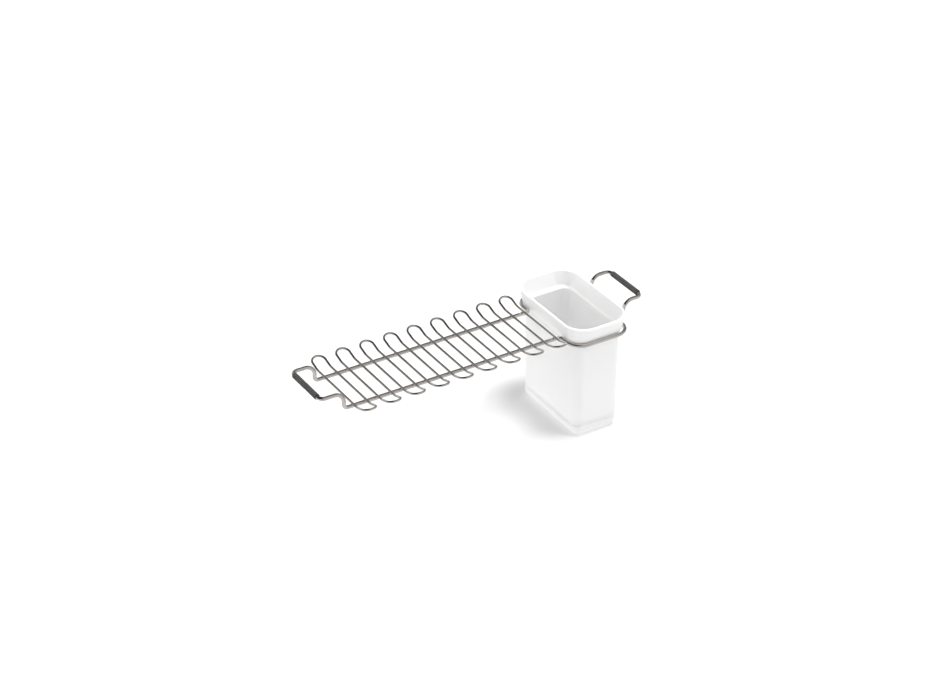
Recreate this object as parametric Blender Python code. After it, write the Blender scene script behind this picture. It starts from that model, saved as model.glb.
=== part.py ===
"""Sink utility rack: a bent wire frame with nine wire loops, two ribbed grips and a lift-out cup.

Metres, +Z up. The origin is the middle of the flat rib under the left grip, where the rack rests on
the sink's rim, so the rim is the plane Z = 0 and the rack runs along +X to the right grip.
"""
import math

import bmesh
import bpy
from mathutils import Vector

COLLECTION = "sink_utility_rack"

# Wire sizes
FRAME_ROD_RADIUS = 0.0027
LOOP_WIRE_RADIUS = 0.0016
WELD_GAP = 0.0003

# Grips on the two end bars
GRIP_RADIUS = 0.0040
GRIP_END_CLEARANCE = 0.0013
GRIP_BORE_GAP = 0.0003
GRIP_RIBS = 14
GRIP_RIB_DEPTH = 0.0004
GRIP_CREST_SHARE = 0.55

# Handles and rails, measured between wire centres
RAIL_HALF_SPAN = 0.0384
HANDLE_RISE = 0.0238
HANDLE_CORNER_RADIUS = 0.0070
RISER_TOP_RADIUS = 0.0104
RISER_FOOT_RADIUS = 0.0058
LEFT_HANDLE_REACH = 0.0335
RIGHT_HANDLE_REACH = 0.0289

# Loops across the rails
LOOP_COUNT = 9
LOOP_PITCH = 0.0360
LOOP_WIDTH = 0.0190
RISER_TO_FIRST_LOOP = 0.0212
LOOP_KNEE_REACH = 0.0140
LOOP_KNEE_RADIUS = 0.0200
LOOP_END_RUN = 0.0096
LOOP_END_SLOPE = math.radians(17.7)

# Ring that holds the cup
LAST_LOOP_TO_RING = 0.0202
RING_TURN_RADIUS = 0.0054
RING_CORNER_RADIUS = 0.0210
RING_TO_RISER = 0.0116

# Cup body, measured outside at its top, and its collar. The cup has play along the ring, and it rests
# a little nearer the loops than the ring's middle
CUP_HALF_X = 0.0365
CUP_HALF_Y = 0.0684
CUP_CORNER_RADIUS = 0.0144
CUP_DRAFT = 0.0105
CUP_WALL = 0.0022
CUP_FLOOR = 0.0025
CUP_DEPTH = 0.1323
CUP_SIDE_PLAY = 0.0050
CUP_REST_SHIFT = 0.0015
SEAT_GAP = 0.0003
SEAT_ANGLE = math.radians(27.0)
SEAT_BELOW = 0.0060
SEAT_ABOVE = 0.0021
COLLAR_SIDE_GAP = 0.0006
LEDGE_WIDTH_X = 0.0022
LEDGE_WIDTH_Y = 0.0032
LEDGE_RISE = 0.0055
RIM_HALF_X = 0.0461
RIM_HALF_Y = 0.0791
RIM_CORNER_RADIUS = 0.0300
RIM_THICKNESS = 0.0042
RIM_HEIGHT = 0.0252

# Base that pushes into the cup's skirt
BASE_HEIGHT = 0.0162
BASE_EDGE_RADIUS = 0.0125
BASE_WALL = 0.0022
BASE_SEAM = 0.0004
BASE_SPIGOT = 0.0040
BASE_SPIGOT_GAP = 0.0003
SKIRT_DEPTH = 0.0050

# Drain holes in the cup's floor
DRAIN_HOLE_RADIUS = 0.0025
DRAIN_PITCH = 0.0150
DRAIN_ROWS = 3
DRAIN_COLUMNS = 7
CUT_OVERRUN = 0.0010

# Fineness of curves
ARC_STEP = math.radians(16.0)
WIRE_BEVEL_RESOLUTION = 2
ROD_BEVEL_RESOLUTION = 3
CORNER_STEPS = 6
EDGE_STEPS = 6
LIP_STEPS = 6
HOLE_SIDES = 12
BORE_SIDES = 24

# Places that follow from the sizes above
GRIP_HALF_LENGTH = RAIL_HALF_SPAN - HANDLE_CORNER_RADIUS - GRIP_END_CLEARANCE
BAR_Z = GRIP_RADIUS * math.cos(math.pi * GRIP_CREST_SHARE / GRIP_RIBS)
RAIL_Z = BAR_Z - HANDLE_RISE
LOOP_Z = RAIL_Z + FRAME_ROD_RADIUS + WELD_GAP + LOOP_WIRE_RADIUS
LEFT_RISER_X = LEFT_HANDLE_REACH
FIRST_LOOP_X = LEFT_RISER_X + RISER_TO_FIRST_LOOP
LAST_LOOP_X = FIRST_LOOP_X + (LOOP_COUNT - 1) * LOOP_PITCH
SEAT_RADIUS = FRAME_ROD_RADIUS + SEAT_GAP
RING_HALF_X = CUP_HALF_X + CUP_SIDE_PLAY + FRAME_ROD_RADIUS
RING_HALF_Y = CUP_HALF_Y + SEAT_BELOW * math.sin(SEAT_ANGLE) + SEAT_RADIUS * math.cos(SEAT_ANGLE)
RING_LEFT_X = LAST_LOOP_X + LAST_LOOP_TO_RING
RING_RIGHT_X = RING_LEFT_X + 2 * RING_HALF_X
CUP_X = RING_LEFT_X + RING_HALF_X - CUP_REST_SHIFT
RIGHT_RISER_X = RING_RIGHT_X + RING_TO_RISER
RIGHT_BAR_X = RIGHT_RISER_X + RIGHT_HANDLE_REACH
SEAM_Z = RAIL_Z - CUP_DEPTH
CUP_TOP_Z = RAIL_Z + SEAT_RADIUS * math.sin(SEAT_ANGLE) - SEAT_BELOW * math.cos(SEAT_ANGLE)
COLLAR_FOOT_Z = CUP_TOP_Z + (SEAT_BELOW + SEAT_ABOVE) * math.cos(SEAT_ANGLE)
COLLAR_FOOT_HALF_Y = CUP_HALF_Y + (SEAT_BELOW + SEAT_ABOVE) * math.sin(SEAT_ANGLE)
COLLAR_FOOT_HALF_X = RING_HALF_X - FRAME_ROD_RADIUS - COLLAR_SIDE_GAP
COLLAR_FOOT_CORNER_RADIUS = RING_CORNER_RADIUS - FRAME_ROD_RADIUS
RIM_Z = RAIL_Z + RIM_HEIGHT


def clear_scene():
    """Remove every object of the open scene."""
    for thing in list(bpy.data.objects):
        bpy.data.objects.remove(thing, do_unlink=True)


def new_collection(name):
    """Return a fresh collection linked to the scene."""
    group = bpy.data.collections.new(name)
    bpy.context.scene.collection.children.link(group)
    return group


def material(name, colour, roughness, metallic):
    """Return a Principled BSDF material."""
    made = bpy.data.materials.new(name)
    made.use_nodes = True
    shader = made.node_tree.nodes["Principled BSDF"]
    shader.inputs["Base Color"].default_value = (*colour, 1.0)
    shader.inputs["Roughness"].default_value = roughness
    shader.inputs["Metallic"].default_value = metallic
    return made


def add_object(name, data, group, finish):
    """Link new object data into a collection with its finish."""
    made = bpy.data.objects.new(name, data)
    group.objects.link(made)
    if finish:
        data.materials.append(finish)
    return made


def rounded_route(corners):
    """Return the points of a closed route whose corners, given as (point, radius), are arcs."""
    points = []
    count = len(corners)
    for index, (corner, radius) in enumerate(corners):
        before = (corners[index - 1][0] - corner).normalized()
        after = (corners[(index + 1) % count][0] - corner).normalized()
        opening = before.angle(after)
        turn = math.pi - opening
        centre = corner + (before + after).normalized() * (radius / math.sin(opening / 2))
        start = corner + before * (radius / math.tan(opening / 2)) - centre
        across = (-before).normalized()
        steps = max(2, math.ceil(turn / ARC_STEP))
        for step in range(steps + 1):
            angle = turn * step / steps
            points.append(centre + start * math.cos(angle) + across * radius * math.sin(angle))
    return points


def wire(name, points, radius, resolution, group, finish):
    """Return a closed round wire along the points."""
    curve = bpy.data.curves.new(name, "CURVE")
    curve.dimensions = "3D"
    curve.bevel_depth = radius
    curve.bevel_resolution = resolution
    spline = curve.splines.new("POLY")
    spline.points.add(len(points) - 1)
    for target, point in zip(spline.points, points):
        target.co = (*point, 1.0)
    spline.use_cyclic_u = True
    return add_object(name, curve, group, finish)


def frame_corners():
    """Return the frame's corners: the near side from left to right, then its mirror image."""
    near = [
        (0.0, BAR_Z, RAIL_HALF_SPAN, HANDLE_CORNER_RADIUS),
        (LEFT_RISER_X, BAR_Z, RAIL_HALF_SPAN, RISER_TOP_RADIUS),
        (LEFT_RISER_X, RAIL_Z, RAIL_HALF_SPAN, RISER_FOOT_RADIUS),
        (RING_LEFT_X, RAIL_Z, RAIL_HALF_SPAN, RING_TURN_RADIUS),
        (RING_LEFT_X, RAIL_Z, RING_HALF_Y, RING_CORNER_RADIUS),
        (RING_RIGHT_X, RAIL_Z, RING_HALF_Y, RING_CORNER_RADIUS),
        (RING_RIGHT_X, RAIL_Z, RAIL_HALF_SPAN, RING_TURN_RADIUS),
        (RIGHT_RISER_X, RAIL_Z, RAIL_HALF_SPAN, RISER_FOOT_RADIUS),
        (RIGHT_RISER_X, BAR_Z, RAIL_HALF_SPAN, RISER_TOP_RADIUS),
        (RIGHT_BAR_X, BAR_Z, RAIL_HALF_SPAN, HANDLE_CORNER_RADIUS),
    ]
    corners = [(Vector((x, -y, z)), radius) for x, z, y, radius in near]
    corners += [(Vector((x, y, z)), radius) for x, z, y, radius in reversed(near)]
    return corners


def loop_end(side):
    """Return one upturned end of a loop about X = 0, from its left leg round to its right leg.

    Each leg bends up past the rail by the end slope, and a half round in that slope joins them.
    """
    knee = RAIL_HALF_SPAN + LOOP_KNEE_REACH
    tangent = LOOP_KNEE_RADIUS * math.tan(LOOP_END_SLOPE / 2)
    steps = max(2, math.ceil(LOOP_END_SLOPE / ARC_STEP))
    leg = []
    for step in range(steps + 1):
        angle = LOOP_END_SLOPE * step / steps
        reach = knee - tangent + LOOP_KNEE_RADIUS * math.sin(angle)
        leg.append((reach, LOOP_Z + LOOP_KNEE_RADIUS * (1 - math.cos(angle))))
    last_reach, last_z = leg[-1]
    last_reach += LOOP_END_RUN * math.cos(LOOP_END_SLOPE)
    last_z += LOOP_END_RUN * math.sin(LOOP_END_SLOPE)
    half = LOOP_WIDTH / 2
    turns = math.ceil(math.pi / ARC_STEP)
    points = [Vector((-half, side * reach, z)) for reach, z in leg]
    for step in range(turns + 1):
        angle = math.pi * step / turns
        out = half * math.sin(angle)
        reach = last_reach + out * math.cos(LOOP_END_SLOPE)
        height = last_z + out * math.sin(LOOP_END_SLOPE)
        points.append(Vector((-half * math.cos(angle), side * reach, height)))
    points += [Vector((half, side * reach, z)) for reach, z in reversed(leg)]
    return points


def plate_loop(number, group, finish):
    """Return one closed loop lying across both rails."""
    shift = Vector((FIRST_LOOP_X + (number - 1) * LOOP_PITCH, 0.0, 0.0))
    points = [point + shift for point in loop_end(1) + loop_end(-1)[::-1]]
    name = f"plate_loop_{number}"
    return wire(name, points, LOOP_WIRE_RADIUS, WIRE_BEVEL_RESOLUTION, group, finish)


def grip(name, bar_x, group, finish):
    """Return a ribbed sleeve round an end bar, with one flat rib facing straight down."""
    curve = bpy.data.curves.new(name, "CURVE")
    curve.dimensions = "2D"
    curve.fill_mode = "BOTH"
    curve.extrude = GRIP_HALF_LENGTH
    pitch = 2 * math.pi / GRIP_RIBS
    half_crest = pitch * GRIP_CREST_SHARE / 2
    half_groove = (pitch - 2 * half_crest) / 4
    outline = []
    for rib in range(GRIP_RIBS):
        middle = rib * pitch - math.pi / 2
        root = middle + pitch / 2
        groove = GRIP_RADIUS - GRIP_RIB_DEPTH
        for angle, radius in (
            (middle - half_crest, GRIP_RADIUS),
            (middle + half_crest, GRIP_RADIUS),
            (root - half_groove, groove),
            (root + half_groove, groove),
        ):
            outline.append((radius * math.cos(angle), radius * math.sin(angle)))
    bore = FRAME_ROD_RADIUS + GRIP_BORE_GAP
    inner = []
    for side in range(BORE_SIDES):
        angle = 2 * math.pi * side / BORE_SIDES
        inner.append((bore * math.cos(angle), bore * math.sin(angle)))
    for ring in (outline, inner):
        spline = curve.splines.new("POLY")
        spline.points.add(len(ring) - 1)
        for target, (x, y) in zip(spline.points, ring):
            target.co = (x, y, 0.0, 1.0)
        spline.use_cyclic_u = True
    made = add_object(name, curve, group, finish)
    made.location = (bar_x, 0.0, BAR_Z)
    made.rotation_euler = (math.pi / 2, 0.0, 0.0)
    return made


def section(half_x, half_y, corner, z):
    """Return one level rounded rectangle round the cup's axis."""
    points = []
    for quarter, (sign_x, sign_y) in enumerate(((1, 1), (-1, 1), (-1, -1), (1, -1))):
        for step in range(CORNER_STEPS + 1):
            angle = (quarter + step / CORNER_STEPS) * math.pi / 2
            x = sign_x * (half_x - corner) + corner * math.cos(angle)
            y = sign_y * (half_y - corner) + corner * math.sin(angle)
            points.append((x, y, z))
    return points


def loft(name, sections, group, finish):
    """Return a closed solid through the sections, capped at the first and the last."""
    mesh = bpy.data.meshes.new(name)
    build = bmesh.new()
    rings = [[build.verts.new(point) for point in points] for points in sections]
    count = len(rings[0])
    for lower, upper in zip(rings, rings[1:]):
        for index in range(count):
            following = (index + 1) % count
            build.faces.new((lower[index], lower[following], upper[following], upper[index]))
    build.faces.new(rings[0][::-1])
    build.faces.new(rings[-1])
    bmesh.ops.recalc_face_normals(build, faces=build.faces)
    build.to_mesh(mesh)
    build.free()
    mesh.shade_smooth()
    mesh.set_sharp_from_angle(angle=math.radians(35.0))
    made = add_object(name, mesh, group, finish)
    made.location = (CUP_X, 0.0, 0.0)
    return made


def cup_outside(z, inset=0.0):
    """Return the cup body's half sizes and corner radius at a height, drawn in by an inset."""
    drawn = CUP_DRAFT * (CUP_TOP_Z - z) + inset
    return CUP_HALF_X - drawn, CUP_HALF_Y - drawn, CUP_CORNER_RADIUS - drawn


def cup_sections():
    """Return the cup's sections: up the skirt's inside, the outside, over the rim and down inside."""
    floor_under = SEAM_Z + SKIRT_DEPTH
    floor_top = floor_under + CUP_FLOOR
    foot = (COLLAR_FOOT_HALF_X, COLLAR_FOOT_HALF_Y, COLLAR_FOOT_CORNER_RADIUS)
    inner_x, inner_y, _ = cup_outside(CUP_TOP_Z, CUP_WALL)
    ledge_wall = COLLAR_FOOT_HALF_Y - inner_y - LEDGE_WIDTH_Y
    ledge = (inner_x + LEDGE_WIDTH_X, inner_y + LEDGE_WIDTH_Y, COLLAR_FOOT_CORNER_RADIUS - ledge_wall)
    sections = [
        section(*cup_outside(floor_under, CUP_WALL), floor_under),
        section(*cup_outside(SEAM_Z, CUP_WALL), SEAM_Z),
        section(*cup_outside(SEAM_Z), SEAM_Z),
        section(*cup_outside(CUP_TOP_Z), CUP_TOP_Z),
        section(*foot, COLLAR_FOOT_Z),
    ]
    lip = RIM_THICKNESS / 2
    for step in range(LIP_STEPS + 1):
        angle = math.pi * step / LIP_STEPS
        inset = lip * (1 - math.cos(angle))
        sizes = (RIM_HALF_X - inset, RIM_HALF_Y - inset, RIM_CORNER_RADIUS - inset)
        sections.append(section(*sizes, RIM_Z - lip + lip * math.sin(angle)))
    return sections + [
        section(*ledge, CUP_TOP_Z + LEDGE_RISE),
        section(*cup_outside(CUP_TOP_Z, CUP_WALL), CUP_TOP_Z),
        section(*cup_outside(floor_top, CUP_WALL), floor_top),
    ]


def base_bowl(inset, first, last):
    """Return the base's rounded lower sections, drawn in by an inset, between two steps of its edge."""
    edge_top = SEAM_Z - BASE_SEAM - BASE_HEIGHT + BASE_EDGE_RADIUS
    radius = BASE_EDGE_RADIUS - inset
    sections = []
    for step in range(first, last + 1):
        angle = math.pi / 2 * step / EDGE_STEPS
        drawn = inset + radius * (1 - math.sin(angle))
        half_x, half_y, corner = (size - drawn for size in cup_outside(SEAM_Z))
        sections.append(section(half_x, half_y, max(corner, 0.0), edge_top - radius * math.cos(angle)))
    return sections


def base_sections():
    """Return the base's sections: up its rounded outside, in to the spigot and down its inside."""
    seam = SEAM_Z - BASE_SEAM
    spigot = cup_outside(SEAM_Z, CUP_WALL + BASE_SPIGOT_GAP + CUP_DRAFT * SKIRT_DEPTH)
    spigot_bore = [size - BASE_WALL for size in spigot]
    spigot_top = SEAM_Z + BASE_SPIGOT
    return base_bowl(0.0, 0, EDGE_STEPS) + [
        section(*cup_outside(SEAM_Z), seam),
        section(*spigot, seam),
        section(*spigot, spigot_top),
        section(*spigot_bore, spigot_top),
        section(*spigot_bore, seam),
    ] + base_bowl(BASE_WALL, 0, EDGE_STEPS - 1)[::-1]


def drain_cutter(group):
    """Return one cutter holding every drain hole's cylinder."""
    floor_middle = SEAM_Z + SKIRT_DEPTH + CUP_FLOOR / 2
    mesh = bpy.data.meshes.new("drain_holes")
    build = bmesh.new()
    for row in range(DRAIN_ROWS):
        for column in range(DRAIN_COLUMNS):
            made = bmesh.ops.create_cone(
                build,
                cap_ends=True,
                segments=HOLE_SIDES,
                radius1=DRAIN_HOLE_RADIUS,
                radius2=DRAIN_HOLE_RADIUS,
                depth=CUP_FLOOR + 2 * CUT_OVERRUN,
            )
            x = CUP_X + (row - (DRAIN_ROWS - 1) / 2) * DRAIN_PITCH
            y = (column - (DRAIN_COLUMNS - 1) / 2) * DRAIN_PITCH
            bmesh.ops.translate(build, verts=made["verts"], vec=(x, y, floor_middle))
    build.to_mesh(mesh)
    build.free()
    cutter = add_object("drain_holes", mesh, group, None)
    cutter.hide_render = True
    cutter.display_type = "WIRE"
    return cutter


def cut(target, cutter):
    """Cut the cutter out of the target with an exact Boolean."""
    difference = target.modifiers.new("cut", "BOOLEAN")
    difference.operation = "DIFFERENCE"
    difference.solver = "EXACT"
    difference.object = cutter


def main():
    """Build every piece of the rack."""
    clear_scene()
    parts = new_collection(COLLECTION)
    cutters = new_collection("cutters")
    steel = material("polished_steel", (0.62, 0.61, 0.59), 0.18, 1.0)
    rubber = material("charcoal_rubber", (0.045, 0.045, 0.048), 0.7, 0.0)
    plastic = material("white_plastic", (0.86, 0.86, 0.85), 0.3, 0.0)
    wire("frame_rod", rounded_route(frame_corners()), FRAME_ROD_RADIUS, ROD_BEVEL_RESOLUTION, parts, steel)
    for number in range(1, LOOP_COUNT + 1):
        plate_loop(number, parts, steel)
    grip("grip_sleeve_left", 0.0, parts, rubber)
    grip("grip_sleeve_right", RIGHT_BAR_X, parts, rubber)
    cup = loft("utensil_cup", cup_sections(), parts, plastic)
    cut(cup, drain_cutter(cutters))
    loft("cup_base", base_sections(), parts, plastic)


main()
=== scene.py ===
"""Looks of the sink utility rack: polished wires, ribbed grips and a white cup on a pale studio floor.

Metres, +Z up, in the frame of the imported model: the origin is under the middle of the left grip, the
rack runs along +X and the cup hangs near its right end. Every piece is a surface worked out with numpy
and stands for the plain solid of the same part.
"""
import logging
import math
from collections.abc import Sequence
from dataclasses import dataclass, field
from enum import Enum

import bpy
import numpy as np
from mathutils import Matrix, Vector


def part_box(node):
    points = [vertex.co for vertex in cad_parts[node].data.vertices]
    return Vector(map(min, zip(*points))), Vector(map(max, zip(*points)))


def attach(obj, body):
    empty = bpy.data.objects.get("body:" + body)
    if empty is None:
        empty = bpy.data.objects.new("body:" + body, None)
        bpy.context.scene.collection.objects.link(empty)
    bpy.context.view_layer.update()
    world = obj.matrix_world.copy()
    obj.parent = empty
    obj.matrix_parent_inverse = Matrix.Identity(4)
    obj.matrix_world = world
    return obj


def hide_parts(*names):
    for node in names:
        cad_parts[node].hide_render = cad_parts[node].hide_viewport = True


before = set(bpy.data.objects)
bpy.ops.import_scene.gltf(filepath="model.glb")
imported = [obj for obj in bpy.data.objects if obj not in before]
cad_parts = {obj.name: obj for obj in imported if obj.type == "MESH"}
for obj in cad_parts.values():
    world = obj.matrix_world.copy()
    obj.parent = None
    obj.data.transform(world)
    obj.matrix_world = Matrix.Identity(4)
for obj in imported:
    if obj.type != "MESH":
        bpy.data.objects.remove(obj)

Array = np.ndarray
Colour = tuple[float, float, float]
Stops = tuple[tuple[float, float], ...]

LOG = logging.getLogger("sink_rack")
PHOTO_WIDTH = 933
MM = 0.001
UP = (0.0, 0.0, 1.0)
WHITE = (1.0, 1.0, 1.0, 1.0)
WHOLE_TURN = 2 * math.pi
HALF_TURN = math.pi
QUARTER_TURN = math.pi / 2
SHARP_ANGLE = math.radians(38.0)

# A Mix node's sockets for its two colours and for the colour that it gives
MIX_LOW, MIX_HIGH, MIX_RESULT = 6, 7, 2


class Body(Enum):
    """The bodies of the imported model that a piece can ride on."""

    RACK = "rack"
    CUP = "cup"
    BASE = "drip_base"


class Slot(Enum):
    """The material slots."""

    STEEL = "steel_wire"
    RUBBER = "grip_rubber"
    PLASTIC = "white_plastic"


def unit(vectors: Array) -> Array:
    """Return the vectors, one a row, each divided by its length."""
    return vectors / np.linalg.norm(vectors, axis=-1, keepdims=True)


def running(steps: Array) -> Array:
    """Return the running total of some steps, from nought."""
    return np.concatenate([[0.0], np.cumsum(steps)])


def centred(count: int) -> Array:
    """Return whole numbers in a row, moved so that their middle is nought."""
    return np.arange(count) - (count - 1) / 2


def level_shifts(x: Sequence[float], y: Sequence[float]) -> Array:
    """Return one level shift for each pair of an X and a Y, one a row."""
    across, along = np.meshgrid(x, y, indexing="ij")
    return np.stack([across.ravel(), along.ravel(), np.zeros(across.size)], axis=1)


def direction(azimuth: float, elevation: float) -> Vector:
    """Return the unit vector at an azimuth from +X towards +Y and an elevation, in degrees."""
    a, e = math.radians(azimuth), math.radians(elevation)
    return Vector((math.cos(a) * math.cos(e), math.sin(a) * math.cos(e), math.sin(e)))


def rounded_route(corners: Sequence[tuple[Array, float]], step: float) -> Array:
    """Return a closed route whose corners are arcs.

    At each corner the arc is centre + start * cos(a) + onwards * radius * sin(a), where start runs from
    the centre to the first tangent point and onwards is the direction of travel there.

    Args:
        corners: Each corner's point and the radius of its arc.
        step: The largest angle between two points of an arc.

    Returns:
        The route's points, one a row.
    """
    points = [point for point, _ in corners]
    arcs = []
    for index, (corner, radius) in enumerate(corners):
        before = unit(points[index - 1] - corner)
        after = unit(points[(index + 1) % len(points)] - corner)
        opening = math.acos(float(before @ after))
        turn = HALF_TURN - opening
        centre = corner + unit(before + after) * radius / math.sin(opening / 2)
        start = corner + before * radius / math.tan(opening / 2) - centre
        angle = np.linspace(0.0, turn, max(3, math.ceil(turn / step) + 1))[:, None]
        arcs.append(centre + start * np.cos(angle) - before * radius * np.sin(angle))
    return np.concatenate(arcs)


@dataclass
class Surface:
    """A grid of points whose columns close on themselves, as a tube's rings or a cup's outlines do.

    Attributes:
        grid: The points, as rows, columns and coordinates.
        closed: Whether the last row joins the first. If not, each end row is closed by one flat face.
        lines: Named values per point, as rows and columns, which become attributes of the mesh.
        shifts: How far each copy of the grid is moved, one a row. It is one copy, unmoved, if not given.
    """

    grid: Array
    closed: bool
    lines: dict[str, Array] = field(default_factory=dict)
    shifts: Array = field(default_factory=lambda: np.zeros((1, 3)))

    def corners(self) -> tuple[tuple[Array, Array], ...]:
        """Return the rows and columns of the four corners of every face, counted on past the seams.

        Returns:
            For each corner in turn, the faces' rows and columns, which spread to a grid of faces.
        """
        rows, columns = self.grid.shape[:2]
        row = np.arange(rows if self.closed else rows - 1)[:, None]
        column = np.arange(columns)[None, :]
        return (row, column), (row, column + 1), (row + 1, column + 1), (row + 1, column)

    def faces(self) -> Array:
        """Return every face between two rows.

        Returns:
            The four corners of each face, as indices into the flattened grid.
        """
        rows, columns = self.grid.shape[:2]
        wrapped = [row % rows * columns + column % columns for row, column in self.corners()]
        return np.stack(wrapped, axis=-1).reshape(-1, 4)

    def ends(self) -> Array:
        """Return the flat faces over the two end rows, or none if the surface is closed.

        Returns:
            The corners of each face, as indices into the flattened grid.
        """
        rows, columns = self.grid.shape[:2]
        first = np.arange(columns)
        last = first + (rows - 1) * columns
        return np.stack([first[::-1], last])[:0 if self.closed else 2]

    def volume(self) -> float:
        """Return a sixth of the sum of a . (b x c) over the triangles a, b, c between the rows.

        Returns:
            The volume, below nought if the faces point inwards.
        """
        points = self.grid.reshape(-1, 3) - self.grid.reshape(-1, 3).mean(axis=0)
        a, b, c, d = (points[corner] for corner in self.faces().T)
        return float((np.cross(b, c) * a).sum() + (np.cross(c, d) * a).sum()) / 6

    def unrolled(self) -> Array:
        """Return where each corner of each face lies on the surface laid flat.

        Across the rows and along them, a place is the running total of the mean step between points.

        Returns:
            Pairs of metres, as faces, corners and coordinates.
        """
        ahead = np.roll(self.grid, -1, axis=0) - self.grid
        beside = np.roll(self.grid, -1, axis=1) - self.grid
        across = running(np.linalg.norm(ahead, axis=2).mean(axis=1))
        along = running(np.linalg.norm(beside, axis=2).mean(axis=0))
        pairs = [np.stack(np.broadcast_arrays(across[r], along[c]), axis=-1) for r, c in self.corners()]
        return np.stack(pairs, axis=2).reshape(-1, 4, 2)

    def way(self) -> int:
        """Return the step through a face's corners that makes it point outwards: 1, or -1 to turn it."""
        return -1 if self.volume() < 0 else 1

    def mesh(self, name: str) -> bpy.types.Mesh:
        """Make the bare mesh of every copy, flat shaded, with faces that point outwards.

        Args:
            name: The mesh's name.

        Returns:
            The new mesh, without a UV map and without the named values.
        """
        points = self.grid.reshape(-1, 3)
        faces, ends = self.faces()[:, ::self.way()], self.ends()[:, ::self.way()]
        polygons = []
        for start in range(0, len(self.shifts) * len(points), len(points)):
            polygons += (faces + start).tolist() + (ends + start).tolist()
        made = bpy.data.meshes.new(name)
        made.from_pydata((self.shifts[:, None] + points).reshape(-1, 3).tolist(), [], polygons)
        return made

    def build(self, name: str) -> bpy.types.Object:
        """Make the mesh and its object, smooth between sharp edges, with a UV map and the named values.

        Args:
            name: The object's name.

        Returns:
            The new object, at the origin.
        """
        ends = self.grid.reshape(-1, 3)[self.ends()[:, ::self.way()].ravel(), :2]
        flat = np.concatenate([self.unrolled()[:, ::self.way()].reshape(-1, 2), ends])
        mesh = self.mesh(name)
        layer = mesh.uv_layers.new(name="surface")
        layer.data.foreach_set("uv", np.tile(flat.ravel(), len(self.shifts)).astype(np.float32))
        for label, values in self.lines.items():
            attribute = mesh.attributes.new(label, "FLOAT", "POINT")
            attribute.data.foreach_set("value", np.tile(values.ravel(), len(self.shifts)).astype(np.float32))
        mesh.shade_smooth()
        mesh.set_sharp_from_angle(angle=SHARP_ANGLE)
        return stand(mesh)


def stand(mesh: bpy.types.Mesh) -> bpy.types.Object:
    """Put a mesh in the scene.

    Args:
        mesh: The finished mesh.

    Returns:
        The new object, at the origin, with the mesh's name.
    """
    made = bpy.data.objects.new(mesh.name, mesh)
    bpy.context.scene.collection.objects.link(made)
    return made


def sweep(path: Array, radius: float, sides: int, lean: Array | float = 0.0) -> Surface:
    """Return a closed round tube along a closed path.

    The ring at each point is point + radius * (across * cos(a) + rise * sin(a)). Across is level and
    square to the path's heading, and rise is square to the path and to across.

    Args:
        path: The tube's centre line, one point a row.
        radius: The tube's radius.
        sides: The number of points of a ring.
        lean: A small level vector a point, which gives the heading where the path runs straight up.

    Returns:
        The tube.
    """
    tangent = unit(np.roll(path, -1, axis=0) - np.roll(path, 1, axis=0))
    heading = unit(tangent * (1.0, 1.0, 0.0) + lean)
    across = np.cross(UP, heading)
    rise = np.cross(tangent, across)
    angle = np.linspace(0.0, WHOLE_TURN, sides, endpoint=False)[None, :, None]
    ring = across[:, None] * np.cos(angle) + rise[:, None] * np.sin(angle)
    return Surface(path[:, None] + radius * ring, closed=True)


def outlines(profile: Array, steps: int) -> Array:
    """Return a rounded rectangle round the Z axis for each point of a profile.

    With a from 0 to a whole turn, a point is (sx * (half_x - corner) + corner * cos(a),
    sy * (half_y - corner) + corner * sin(a), height), where sx and sy are the signs of a's quarter.

    Args:
        profile: Half sizes in X and in Y, corner radii and heights, one rectangle a row.
        steps: The number of steps in each corner.

    Returns:
        The grid of points, as rows, columns and coordinates.
    """
    half_x, half_y, corner, height = (column[:, None] for column in profile.T)
    angle = (np.arange(4)[:, None] + np.linspace(0.0, 1.0, steps + 1)).ravel() * QUARTER_TURN
    sign_x = np.repeat([1.0, -1.0, -1.0, 1.0], steps + 1)
    sign_y = np.repeat([1.0, 1.0, -1.0, -1.0], steps + 1)
    x = sign_x * (half_x - corner) + corner * np.cos(angle)
    y = sign_y * (half_y - corner) + corner * np.sin(angle)
    return np.stack([x, y, np.broadcast_to(height, x.shape)], axis=-1)


def along_side(corner: Array, other: Array, cut: float) -> Array:
    """Return the point on a profile's side at a distance from its corner, half way along at most.

    Args:
        corner: The corner, as half size in X, half size in Y, corner radius and height.
        other: The side's other end.
        cut: The distance.

    Returns:
        The point, of the same four numbers.
    """
    way = other - corner
    length = math.hypot((way[0] + way[1]) / 2, way[3])
    return corner + way * min(cut / length, 0.5)


def soften(stations: Array, steps: int) -> Array:
    """Round the corners of a profile.

    Each corner P becomes the curve (1-t)^2 A + 2 t (1-t) P + t^2 C, where A and C lie on the two sides
    of P, at the corner's cut from it.

    Args:
        stations: The profile's points in order, as half size in X, half size in Y, corner radius, height
            and cut. A cut is how far the corner's curve reaches along its sides, and 0 keeps it sharp.
        steps: The number of steps in each curve.

    Returns:
        The softened profile, one point a row, without the cuts.
    """
    points, cuts = stations[:, :4], stations[:, 4]
    share = np.linspace(0.0, 1.0, steps + 1)[:, None]
    runs = [points[:1]]
    for before, corner, after, cut in zip(points, points[1:], points[2:], cuts[1:]):
        if cut == 0.0:
            runs.append(corner[None])
            continue
        start, end = along_side(corner, before, cut), along_side(corner, after, cut)
        runs.append((1 - share) ** 2 * start + 2 * share * (1 - share) * corner + share ** 2 * end)
    return np.concatenate([*runs, points[-1:]])


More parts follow.
